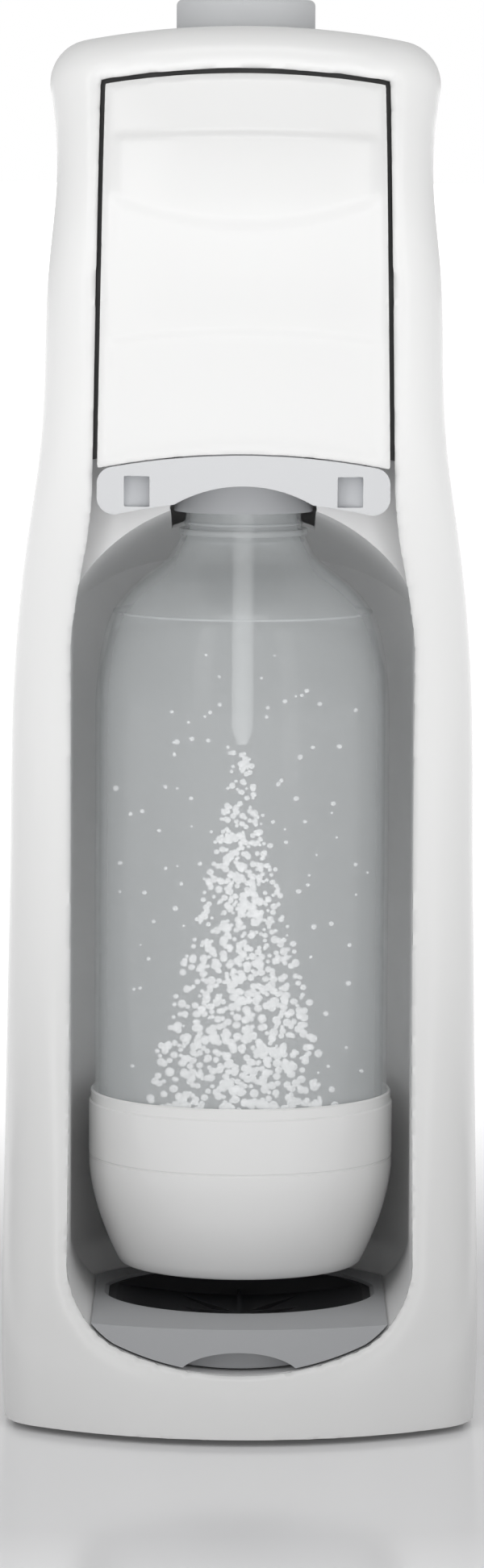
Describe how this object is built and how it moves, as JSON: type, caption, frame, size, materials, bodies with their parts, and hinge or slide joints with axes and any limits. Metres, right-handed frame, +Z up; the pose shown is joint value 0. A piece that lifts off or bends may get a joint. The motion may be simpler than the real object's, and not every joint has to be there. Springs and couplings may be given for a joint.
{
  "type": "soda carbonator",
  "caption": "Upright home carbonator with a rounded shell, press-down top button, tilting bottle holder, clear screw-on bottle, rear gas cylinder and slide-out drip tray.",
  "frame": {"origin": "centre of the overall box, on the surface that the rubber feet stand on", "axes": "+X to the user's right, front towards -Y, +Z up"},
  "size_m": [0.1412, 0.2, 0.42],
  "materials": {
    "white_gloss": "gloss moulded white plastic",
    "white_satin": "satin white plastic",
    "lip_grey": "satin light grey plastic",
    "button_grey": "satin grey plastic",
    "holder_grey": "satin grey plastic",
    "tray_grey": "fine-textured mid grey plastic",
    "black_plastic": "matt black glass-filled plastic",
    "clear_pet": "clear blown plastic, slightly green in the thickness",
    "tube_white": "translucent milky plastic",
    "brass": "turned brass",
    "steel": "zinc plated steel",
    "aluminium": "brushed anodised aluminium",
    "rubber": "matt soft rubber",
    "hose_nylon": "semi-matt nylon"
  },
  "bodies": {
    "housing": {"front_frame": "white_gloss", "bay_liner": "white_satin", "bay_sump": "white_satin", "base_plate": "black_plastic", "hinge_rod": "steel", "rubber_feet": "rubber", "base_screws": "steel", "head_cover": "white_gloss", "head_lip": "lip_grey", "face_seal": "rubber", "bay_ceiling": "lip_grey", "head_chassis": "black_plastic", "chassis_screws": "steel", "trunnion_bushes": "brass", "cylinder_cradle": "black_plastic", "valve_block": "brass", "hose_gland": "brass", "gas_hose": "hose_nylon", "button_guide": "black_plastic", "lever_pin": "steel"},
    "rear_cover": {"rear_cover": "white_gloss"},
    "cover_latch": {"cover_latch": "button_grey"},
    "bottle_holder": {"bottle_holder": "holder_grey", "trunnion_pins": "steel", "carbonation_tube": "tube_white", "tube_tip": "tube_white", "relief_valve_body": "brass"},
    "relief_poppet": {"relief_poppet": "steel"},
    "bottle_seal": {"bottle_seal": "rubber"},
    "bottle": {"bottle": "clear_pet", "base_cup": "white_gloss"},
    "drip_tray": {"drip_tray": "tray_grey", "tray_insert": "black_plastic"},
    "cylinder_seal": {"cylinder_seal": "rubber"},
    "gas_cylinder": {"gas_cylinder": "aluminium", "cylinder_valve": "brass"},
    "button": {"button": "button_grey", "button_stem": "black_plastic", "button_spring": "steel"},
    "actuator_lever": {"actuator_lever": "steel"},
    "valve_pin": {"valve_pin": "steel"}
  },
  "joints": [
    {"name": "rear_cover_hinge", "type": "hinge", "parent": "housing", "child": "rear_cover", "pos_m": [0, 0.0885, 0.01], "axis": [-1, 0, 0], "range_deg": [0, 30]},
    {"name": "cover_latch_press", "type": "slide", "parent": "rear_cover", "child": "cover_latch", "axis": [0, -1, 0], "range_m": [0, 0.003], "stiffness_N_per_m": 300},
    {"name": "bottle_tilt", "type": "hinge", "parent": "housing", "child": "bottle_holder", "pos_m": [0, -0.028, 0.305], "axis": [-1, 0, 0], "range_deg": [0, 15]},
    {"name": "relief_lift", "type": "slide", "parent": "bottle_holder", "child": "relief_poppet", "axis": [0, 0, 1], "range_m": [0, 0.0015], "stiffness_N_per_m": 2000},
    {"name": "bottle_turn", "type": "hinge", "parent": "bottle_holder", "child": "bottle_seal", "pos_m": [0, -0.028, 0.284], "axis": [0, 0, 1], "range_deg": [0, 360]},
    {"name": "bottle_screw", "type": "slide", "parent": "bottle_seal", "child": "bottle", "axis": [0, 0, -1], "range_m": [0, 0.004]},
    {"name": "drip_tray_slide", "type": "slide", "parent": "housing", "child": "drip_tray", "axis": [0, -1, 0], "range_m": [0, 0.11]},
    {"name": "cylinder_turn", "type": "hinge", "parent": "housing", "child": "cylinder_seal", "pos_m": [0, 0.057, 0.36], "axis": [0, 0, 1], "range_deg": [0, 540]},
    {"name": "cylinder_screw", "type": "slide", "parent": "cylinder_seal", "child": "gas_cylinder", "axis": [0, 0, -1], "range_m": [0, 0.006]},
    {"name": "button_press", "type": "slide", "parent": "housing", "child": "button", "axis": [0, 0, -1], "range_m": [0, 0.008], "stiffness_N_per_m": 600, "springref_m": -0.002, "deforming": ["button_spring"]},
    {"name": "lever_turn", "type": "hinge", "parent": "housing", "child": "actuator_lever", "pos_m": [0, 0.084, 0.388], "axis": [1, 0, 0], "range_deg": [0, 4.7]},
    {"name": "valve_pin_press", "type": "slide", "parent": "housing", "child": "valve_pin", "axis": [0, 0, -1], "range_m": [0, 0.0023]}
  ],
  "couplings": [
    {"joint": "bottle_screw", "follows": "bottle_turn", "m_per_rad": 0.00063662},
    {"joint": "cylinder_screw", "follows": "cylinder_turn", "m_per_rad": 0.00063662},
    {"joint": "lever_turn", "follows": "button_press", "rad_per_m": 10.15},
    {"joint": "valve_pin_press", "follows": "button_press", "ratio": 0.2727}
  ]
}
